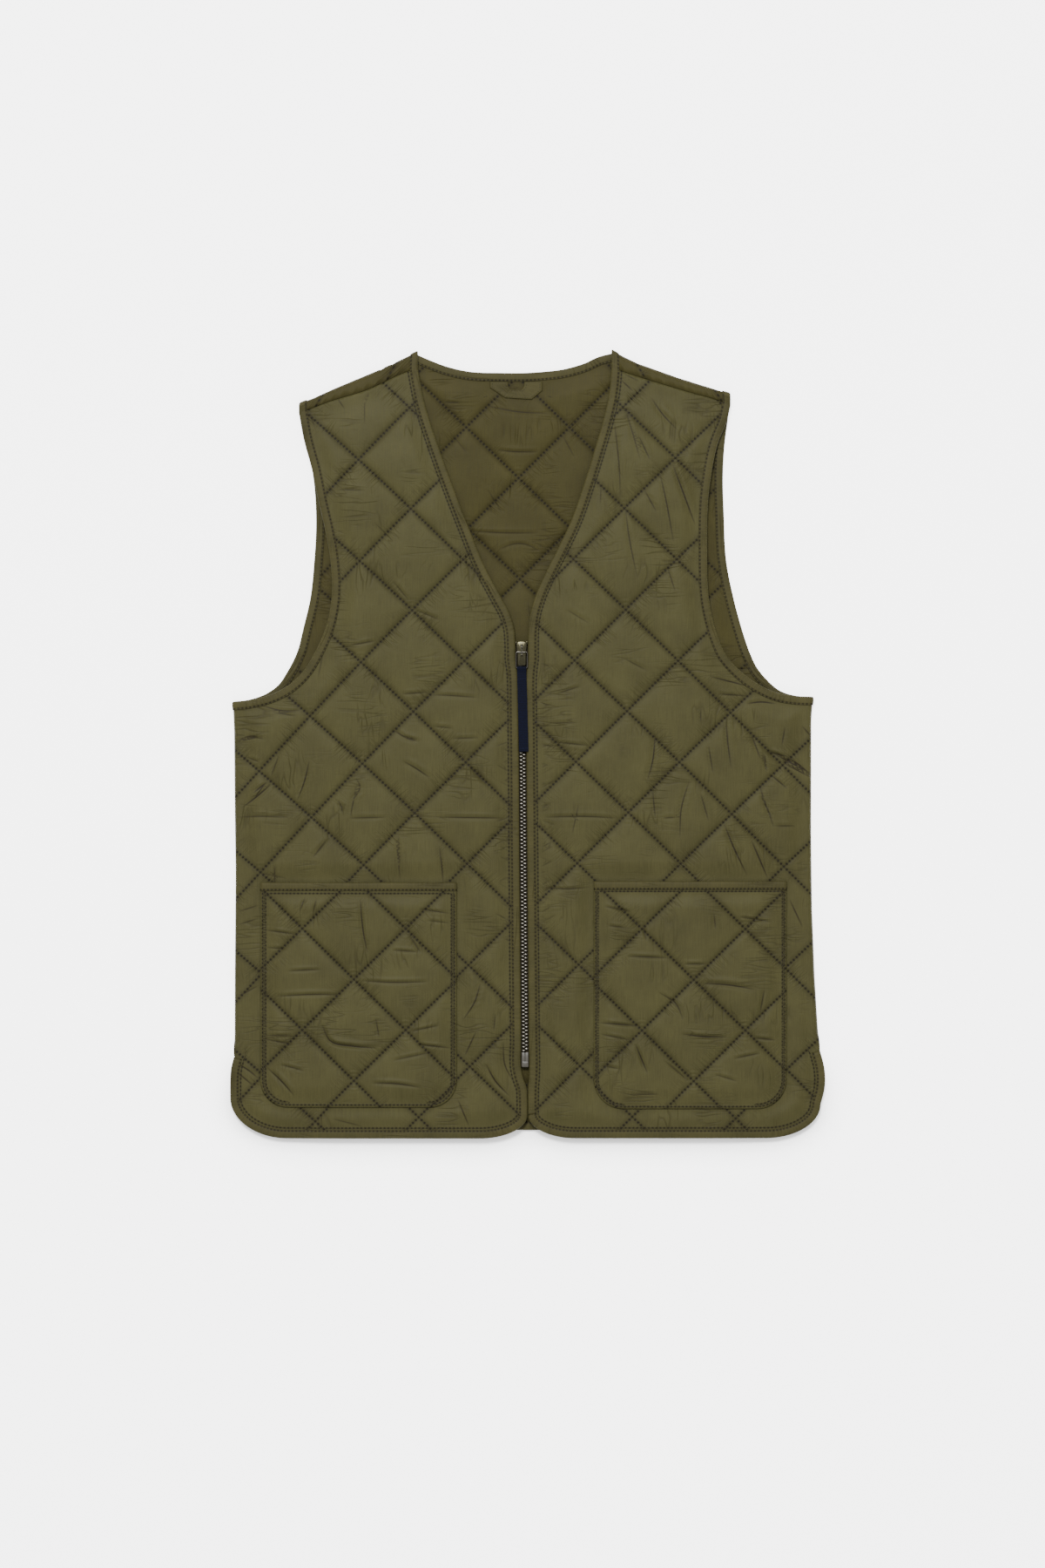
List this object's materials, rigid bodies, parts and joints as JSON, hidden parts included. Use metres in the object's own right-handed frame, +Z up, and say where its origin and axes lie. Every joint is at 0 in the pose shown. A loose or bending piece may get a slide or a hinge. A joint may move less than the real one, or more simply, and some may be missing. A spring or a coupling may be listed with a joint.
{
  "type": "quilted vest",
  "caption": "Sleeveless quilted vest laid flat on its back, with a V neck, bound edges, a closed front zip with a long tape pull, and patch pockets.",
  "frame": {"origin": "on the surface the vest lies on, under the middle of its outline seen from above", "axes": "+Z up from the surface to the fronts, +Y towards the neck, +X to the viewer's right as the vest is seen from above"},
  "size_m": [0.5252, 0.6963, 0.0157],
  "materials": {
    "quilted_shell": "satin quilted nylon, olive",
    "bias_binding": "satin nylon binding, olive",
    "woven_tape": "woven tape, olive",
    "navy_tape": "woven tape, navy",
    "nickel": "nickel plated",
    "dark_plastic": "moulded plastic, olive"
  },
  "bodies": {
    "vest": {"back": "quilted_shell", "front_left": "quilted_shell", "front_right": "quilted_shell", "pocket_left": "quilted_shell", "pocket_right": "quilted_shell", "binding_front_neck": "bias_binding", "binding_back_hem": "bias_binding", "armhole_binding_left": "bias_binding", "armhole_binding_right": "bias_binding", "pocket_binding_left": "bias_binding", "pocket_binding_right": "bias_binding", "hanger_loop": "bias_binding", "zip_tape_left": "woven_tape", "zip_tape_right": "woven_tape", "zip_chain": "nickel", "zip_slider": "nickel", "slider_bail": "nickel", "zip_bottom_box": "dark_plastic"},
    "pull_tab": {"zip_puller": "nickel", "pull_tape": "navy_tape"}
  },
  "joints": [
    {"name": "pull_tab_flip", "type": "hinge", "parent": "vest", "child": "pull_tab", "pos_m": [-0.00535, 0.0805, 0.0134], "axis": [-1, 0, 0], "range_deg": [0, 170]}
  ]
}
